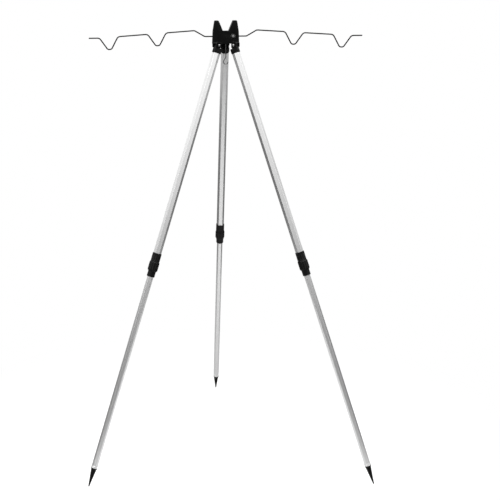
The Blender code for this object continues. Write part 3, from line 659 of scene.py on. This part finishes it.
# %% [markdown]
# ## Finishes
# Each finish is one material, built from shader nodes. Effects that several finishes share, such as the
# grain of moulded plastic or wear along edges, are node groups with their own numbers. The patterns read
# Object coordinates, or a piece's own_place where they have to follow its length.


# %% Node tools
def add_node(tree, kind, **settings):
    """A node with its settings. A setting's name is an attribute's or, else, an input's."""
    node = tree.nodes.new(kind)
    for name, value in settings.items():
        if hasattr(node, name):
            setattr(node, name, value)
        else:
            node.inputs[name].default_value = value
    return node


def ramp(tree, start, end, low=0.0, high=1.0, **settings):
    """A Map Range node: low at the start, high at the end and evenly or smoothly between."""
    node = add_node(tree, "ShaderNodeMapRange", **settings)
    for name, value in zip(("From Min", "From Max", "To Min", "To Max"), (start, end, low, high)):
        node.inputs[name].default_value = value
    return node


def join(tree, *pairs):
    """Links each pair's source socket to its target."""
    for source, target in pairs:
        tree.links.new(source, target)


def effect(name, inputs, outputs):
    """An empty node group with number inputs and outputs. Returns it with its two end nodes."""
    group = bpy.data.node_groups.new(name, "ShaderNodeTree")
    for label, value in inputs.items():
        socket = group.interface.new_socket(label, in_out="INPUT", socket_type="NodeSocketFloat")
        socket.default_value = value
    for label in outputs:
        group.interface.new_socket(label, in_out="OUTPUT", socket_type="NodeSocketFloat")
    print(name, "takes", *inputs, "and gives", *outputs)
    return group, group.nodes.new("NodeGroupInput"), group.nodes.new("NodeGroupOutput")


# %% [markdown]
# Drawn aluminium shows faint lines along the tube, because the die drags them out of the metal. Stretching
# a noise two hundred times along the tube's own length gives lines of about half a millimetre. A second,
# broader noise shifts the tone between one band and the next.

# %% Drawn lines
drawn_lines, ends, out = effect("drawn_lines", {"Fineness": 2000}, ("Height", "Shade"))
tube_place = add_node(drawn_lines, "ShaderNodeAttribute", attribute_name="own_place")
stretch = add_node(drawn_lines, "ShaderNodeMapping", Scale=(1, 1, 0.005))
lines = add_node(drawn_lines, "ShaderNodeTexNoise", Detail=2, Roughness=0.6)
bands = add_node(drawn_lines, "ShaderNodeTexNoise", Scale=260, Detail=1)
join(
    drawn_lines,
    (tube_place.outputs["Vector"], stretch.inputs["Vector"]),
    (stretch.outputs["Vector"], lines.inputs["Vector"]),
    (stretch.outputs["Vector"], bands.inputs["Vector"]),
    (ends.outputs["Fineness"], lines.inputs["Scale"]),
    (lines.outputs["Fac"], out.inputs["Height"]),
    (bands.outputs["Fac"], out.inputs["Shade"]),
)

# %% [markdown]
# A moulded black plastic takes a fine grain from its mould, and a coated wire a softer, wider one. Both are
# a noise in Object coordinates, with a broad noise for uneven tone.

# %% Moulded grain
moulded_grain, ends, out = effect("moulded_grain", {"Grain": 2400}, ("Height", "Shade"))
grain_place = add_node(moulded_grain, "ShaderNodeTexCoord")
grain = add_node(moulded_grain, "ShaderNodeTexNoise", Detail=3, Roughness=0.55)
cloud = add_node(moulded_grain, "ShaderNodeTexNoise", Scale=70, Detail=3)
join(
    moulded_grain,
    (grain_place.outputs["Object"], grain.inputs["Vector"]),
    (grain_place.outputs["Object"], cloud.inputs["Vector"]),
    (ends.outputs["Grain"], grain.inputs["Scale"]),
    (grain.outputs["Fac"], out.inputs["Height"]),
    (cloud.outputs["Fac"], out.inputs["Shade"]),
)

# %% [markdown]
# Hands and sand polish the edges first, and the lighter edge colour is also a painted highlight along them.
# A Bevel node gives the normal as if the edges were rounded, and where that leaves the true normal there is
# an edge. A noise breaks the mask into patches.

# %% Worn edges and painted edge highlight
worn_and_highlit_edges, ends, out = effect("worn_and_highlit_edges", {"Reach": 0.0005, "Patches": 300}, ("Mask",))
soft = add_node(worn_and_highlit_edges, "ShaderNodeBevel", samples=4)
true = add_node(worn_and_highlit_edges, "ShaderNodeNewGeometry")
meet = add_node(worn_and_highlit_edges, "ShaderNodeVectorMath", operation="DOT_PRODUCT")
near = ramp(worn_and_highlit_edges, 0.98, 0.86)
patch_place = add_node(worn_and_highlit_edges, "ShaderNodeTexCoord")
patch = add_node(worn_and_highlit_edges, "ShaderNodeTexNoise", Detail=2)
some = ramp(worn_and_highlit_edges, 0.35, 0.65)
both = add_node(worn_and_highlit_edges, "ShaderNodeMath", operation="MULTIPLY")
join(
    worn_and_highlit_edges,
    (ends.outputs["Reach"], soft.inputs["Radius"]),
    (ends.outputs["Patches"], patch.inputs["Scale"]),
    (soft.outputs["Normal"], meet.inputs[0]),
    (true.outputs["Normal"], meet.inputs[1]),
    (meet.outputs["Value"], near.inputs["Value"]),
    (patch_place.outputs["Object"], patch.inputs["Vector"]),
    (patch.outputs["Fac"], some.inputs["Value"]),
    (near.outputs["Result"], both.inputs[0]),
    (some.outputs["Result"], both.inputs[1]),
    (both.outputs["Value"], out.inputs["Mask"]),
)

# %% [markdown]
# Rivet heads, washers and caps keep the rings of the tool that turned or stamped them. A wave in the
# distance from the piece's own middle line gives them.

# %% Turned rings
turned_rings, ends, out = effect("turned_rings", {"Rings": 900}, ("Height",))
turned_place = add_node(turned_rings, "ShaderNodeAttribute", attribute_name="own_place")
wave = add_node(turned_rings, "ShaderNodeTexWave", wave_type="RINGS", rings_direction="Z", Distortion=0.6)
join(
    turned_rings,
    (turned_place.outputs["Vector"], wave.inputs["Vector"]),
    (ends.outputs["Rings"], wave.inputs["Scale"]),
    (wave.outputs["Fac"], out.inputs["Height"]),
)

# %% [markdown]
# A round head's rim is painted darker than its crown: painted shade where it meets what is under it.

# %% Painted rim shade
rim_shade, ends, out = effect("rim_shade", {"Start": 0.002, "End": 0.003}, ("Mask",))
rim_place = add_node(rim_shade, "ShaderNodeAttribute", attribute_name="own_place")
flatten = add_node(rim_shade, "ShaderNodeVectorMath", operation="MULTIPLY")
flatten.inputs[1].default_value = (1, 1, 0)
off_middle = add_node(rim_shade, "ShaderNodeVectorMath", operation="LENGTH")
rim_darkening = add_node(rim_shade, "ShaderNodeMapRange", interpolation_type="SMOOTHSTEP")
join(
    rim_shade,
    (rim_place.outputs["Vector"], flatten.inputs[0]),
    (flatten.outputs["Vector"], off_middle.inputs[0]),
    (off_middle.outputs["Value"], rim_darkening.inputs["Value"]),
    (ends.outputs["Start"], rim_darkening.inputs["From Min"]),
    (ends.outputs["End"], rim_darkening.inputs["From Max"]),
    (rim_darkening.outputs["Result"], out.inputs["Mask"]),
)

# %% [markdown]
# All finishes share one plan: a pattern's shade mixes two close colours, its height drives roughness and
# bump, and a mask, of worn edges with a painted highlight or of painted rim shade, may cover part of it with
# another colour.


# %% Finishes
def finish(name, pattern, colours, roughness, depth, metallic=0.0, level=0.5, cover=None, **numbers):
    """A material whose pattern group mixes two colours, spreads roughness between two values and raises
    the surface by depth. cover is a mask group, its colour and its numbers."""
    made = bpy.data.materials.new(name)
    made.use_nodes = True
    tree = made.node_tree
    shader = tree.nodes["Principled BSDF"]
    shader.inputs["Metallic"].default_value = metallic
    shader.inputs["Specular IOR Level"].default_value = level
    texture = add_node(tree, "ShaderNodeGroup", node_tree=pattern, **numbers)
    height = texture.outputs["Height"]
    shade = texture.outputs["Shade"] if "Shade" in texture.outputs else height
    blend = add_node(tree, "ShaderNodeMix", data_type="RGBA")
    blend.inputs["A"].default_value = (*colours[0], 1)
    blend.inputs["B"].default_value = (*colours[1], 1)
    spread = ramp(tree, 0.3, 0.7, *roughness)
    bump = add_node(tree, "ShaderNodeBump", Strength=0.6, Distance=depth)
    join(
        tree,
        (shade, blend.inputs["Factor"]),
        (height, spread.inputs["Value"]),
        (height, bump.inputs["Height"]),
        (spread.outputs["Result"], shader.inputs["Roughness"]),
        (bump.outputs["Normal"], shader.inputs["Normal"]),
    )
    colour = blend.outputs["Result"]
    if cover:
        group, other, settings = cover
        mask = add_node(tree, "ShaderNodeGroup", node_tree=group, **settings)
        over = add_node(tree, "ShaderNodeMix", data_type="RGBA")
        over.inputs["B"].default_value = (*other, 1)
        join(tree, (mask.outputs["Mask"], over.inputs["Factor"]), (colour, over.inputs["A"]))
        colour = over.outputs["Result"]
    join(tree, (colour, shader.inputs["Base Color"]))
    return made


def grey(value):
    """Equal red, green and blue."""
    return (value, value, value)


FINISHES = {
    "satin_aluminium": finish(
        "satin_aluminium", drawn_lines, (grey(0.78), grey(0.92)), (0.26, 0.34), 0.008 * MM, metallic=1.0
    ),
    "black_plastic": finish(
        "black_plastic",
        moulded_grain,
        (grey(0.003), grey(0.006)),
        (0.34, 0.5),
        0.03 * MM,
        level=0.08,
        # edge wear, with a painted highlight along the edges
        cover=(worn_and_highlit_edges, grey(0.06), {"Reach": 0.8 * MM}),
    ),
    "lock_plastic": finish(
        "lock_plastic",
        moulded_grain,
        (grey(0.002), grey(0.005)),
        (0.26, 0.38),
        0.03 * MM,
        level=0.2,
        # edge wear, with a painted highlight along the rib edges
        cover=(worn_and_highlit_edges, grey(0.05), {}),
        Grain=1800,
    ),
    "white_plastic": finish(
        "white_plastic", moulded_grain, (grey(0.7), grey(0.78)), (0.42, 0.56), 0.02 * MM, Grain=2000
    ),
    "black_coated_wire": finish(
        "black_coated_wire",
        moulded_grain,
        (grey(0.004), grey(0.007)),
        (0.3, 0.45),
        0.05 * MM,
        level=0.12,
        Grain=500,
    ),
    "zinc_plated_steel": finish(
        "zinc_plated_steel",
        turned_rings,
        (grey(0.42), grey(0.5)),
        (0.3, 0.42),
        0.01 * MM,
        metallic=1.0,
        # painted shade: darker from 2.2 mm out from the middle line
        cover=(rim_shade, grey(0.15), {"Start": 2.2 * MM, "End": 3.0 * MM}),
    ),
}
steel_wire = finish(
    "zinc_plated_wire",
    moulded_grain,
    (grey(0.10), grey(0.16)),
    (0.35, 0.5),
    0.02 * MM,
    metallic=1.0,
    Grain=900,
)
dull_steel = finish(
    "dull_steel_cap",
    turned_rings,
    (grey(0.26), grey(0.34)),
    (0.4, 0.5),
    0.01 * MM,
    metallic=1.0,
    # painted shade: the cap's rim darker than its dome
    cover=(rim_shade, grey(0.03), {"Start": 2.0 * MM, "End": 4.2 * MM}),
)
SPECIAL = {
    "weight_hook_fine": steel_wire,
    "left_arm_retainer_fine": dull_steel,
    "right_arm_retainer_fine": dull_steel,
}
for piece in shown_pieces():
    made = SPECIAL.get(piece.name) or FINISHES[piece.get("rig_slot") or "white_plastic"]
    if not piece.material_slots:
        piece.data.materials.append(made)
    for own_slot in piece.material_slots:
        own_slot.material = made
print(len(FINISHES) + len(set(SPECIAL.values())), "finishes")

# %% [markdown]
# ## Studio
# The tripod stands on a sheet of white paper under large soft lamps. The camera sees the paper fade into
# plain white, as in a catalogue picture. The paper's colour is palest round a point in front of the middle
# and darker away from it, a painted pool of light. It also glows, strongly for the camera and faintly for the
# metal, so the tubes don't turn white from below.

# %% Floor
SIDE, FRONT, BACK = 0.8, -1.3, 1.1
floor_mesh = bpy.data.meshes.new("floor")
floor_corners = [(-SIDE, FRONT, 0), (SIDE, FRONT, 0), (SIDE, BACK, 0), (-SIDE, BACK, 0)]
floor_mesh.from_pydata(floor_corners, [], [(0, 1, 2, 3)])
floor = bpy.data.objects.new("floor", floor_mesh)
bpy.context.scene.collection.objects.link(floor)

paper = bpy.data.materials.new("white_paper")
paper.use_nodes = True
paper_tree = paper.node_tree
paper_tree.nodes.clear()
paper_end = add_node(paper_tree, "ShaderNodeOutputMaterial")
sheet = add_node(paper_tree, "ShaderNodeBsdfDiffuse")
# painted pool of light: the paper's colour falls from 0.62 near (0, -0.35) to 0.34 further out
pool = add_node(paper_tree, "ShaderNodeVectorMath", operation="DISTANCE")
pool.inputs[1].default_value = (0, -0.35, 0)
painted_pool_tone = ramp(paper_tree, 0.25, 0.9, 0.62, 0.34)
glow = add_node(paper_tree, "ShaderNodeEmission")
lit = add_node(paper_tree, "ShaderNodeAddShader")
floor_ray = add_node(paper_tree, "ShaderNodeLightPath")
seen = add_node(paper_tree, "ShaderNodeMath", operation="MAXIMUM")
in_metal = add_node(paper_tree, "ShaderNodeMath", operation="MULTIPLY")
in_metal.inputs[1].default_value = 0.1
lift = add_node(paper_tree, "ShaderNodeMath", operation="MULTIPLY_ADD")
lift.inputs[1].default_value = 0.64
bare_white = add_node(paper_tree, "ShaderNodeEmission")
floor_place = add_node(paper_tree, "ShaderNodeTexCoord")
away = add_node(paper_tree, "ShaderNodeVectorMath", operation="LENGTH")
far = ramp(paper_tree, 0.5, 0.82, interpolation_type="SMOOTHSTEP")
shown = add_node(paper_tree, "ShaderNodeMath", operation="MULTIPLY")
pick = add_node(paper_tree, "ShaderNodeMixShader")
join(
    paper_tree,
    (floor_ray.outputs["Is Camera Ray"], seen.inputs[0]),
    (floor_ray.outputs["Is Transmission Ray"], seen.inputs[1]),
    (floor_ray.outputs["Is Glossy Ray"], in_metal.inputs[0]),
    (seen.outputs[0], lift.inputs[0]),
    (in_metal.outputs[0], lift.inputs[2]),
    (lift.outputs[0], glow.inputs["Strength"]),
    (floor_place.outputs["Object"], pool.inputs[0]),
    (pool.outputs["Value"], painted_pool_tone.inputs["Value"]),
    (painted_pool_tone.outputs["Result"], sheet.inputs["Color"]),
    (sheet.outputs[0], lit.inputs[0]),
    (glow.outputs[0], lit.inputs[1]),
    (floor_place.outputs["Object"], away.inputs[0]),
    (away.outputs["Value"], far.inputs["Value"]),
    (seen.outputs[0], shown.inputs[0]),
    (far.outputs["Result"], shown.inputs[1]),
    (shown.outputs[0], pick.inputs["Fac"]),
    (lit.outputs[0], pick.inputs[1]),
    (bare_white.outputs[0], pick.inputs[2]),
    (pick.outputs[0], paper_end.inputs["Surface"]),
)
floor_mesh.materials.append(paper)
print("floor", 2 * SIDE, "by", round(BACK - FRONT, 2), "m")

# %% [markdown]
# The surround is white to the camera. Metal sees a room that is darker near the horizon and white overhead,
# which draws the flats of the tubes apart.

# %% Surround
world = bpy.data.worlds.new("studio")
bpy.context.scene.world = world
world.use_nodes = True
room = world.node_tree
room.nodes.clear()
room_end = add_node(room, "ShaderNodeOutputWorld")
light = add_node(room, "ShaderNodeBackground", Color=(1, 1, 1, 1), Strength=0.5)
walls = add_node(room, "ShaderNodeBackground", Color=(1, 1, 1, 1))
backdrop = add_node(room, "ShaderNodeBackground", Color=(1, 1, 1, 1))
room_ray = add_node(room, "ShaderNodeLightPath")
direction = add_node(room, "ShaderNodeTexCoord")
parts = add_node(room, "ShaderNodeSeparateXYZ")
tone = ramp(room, 0.06, 0.18, 0.17, 1.12, interpolation_type="SMOOTHSTEP")
straight = add_node(room, "ShaderNodeMath", operation="MAXIMUM")
for_metal = add_node(room, "ShaderNodeMixShader")
for_camera = add_node(room, "ShaderNodeMixShader")
join(
    room,
    (direction.outputs["Generated"], parts.inputs[0]),
    (parts.outputs["Z"], tone.inputs["Value"]),
    (tone.outputs["Result"], walls.inputs["Strength"]),
    (room_ray.outputs["Is Glossy Ray"], for_metal.inputs["Fac"]),
    (light.outputs[0], for_metal.inputs[1]),
    (walls.outputs[0], for_metal.inputs[2]),
    (room_ray.outputs["Is Camera Ray"], straight.inputs[0]),
    (room_ray.outputs["Is Transmission Ray"], straight.inputs[1]),
    (straight.outputs[0], for_camera.inputs["Fac"]),
    (for_metal.outputs[0], for_camera.inputs[1]),
    (backdrop.outputs[0], for_camera.inputs[2]),
    (for_camera.outputs[0], room_end.inputs["Surface"]),
)
print(len(room.nodes), "nodes light the room")


# %% Lamps
def softbox(name, place, aim, size, power):
    """A rectangular lamp that faces a point and isn't itself seen by the camera."""
    lamp = bpy.data.objects.new(name, bpy.data.lights.new(name, "AREA"))
    bpy.context.scene.collection.objects.link(lamp)
    lamp.data.shape = "RECTANGLE"
    lamp.data.size, lamp.data.size_y = size
    lamp.data.energy = power
    lamp.location = place
    lamp.rotation_euler = (Vector(place) - Vector(aim)).to_track_quat("Z", "Y").to_euler()
    lamp.visible_camera = False
    print(name, power, "W")


AIM = (0, 0, 0.7)
softbox("front left lamp", (-1.5, -2.2, 3.5), AIM, (2.0, 2.0), 50)
softbox("front right lamp", (1.7, -2.0, 3.4), AIM, (2.0, 2.0), 40)
softbox("overhead lamp", (0, 0.2, 3.2), AIM, (3.0, 3.0), 50)
PANEL_AIM = (0, 0.92, 0.64)
softbox("left side panel", (-1.5, 0.92, 0.64), PANEL_AIM, (0.6, 0.42), 0.5)
softbox("right side panel", (1.5, 0.92, 0.64), PANEL_AIM, (0.6, 0.42), 0.5)
bpy.context.scene.view_settings.view_transform = "Standard"
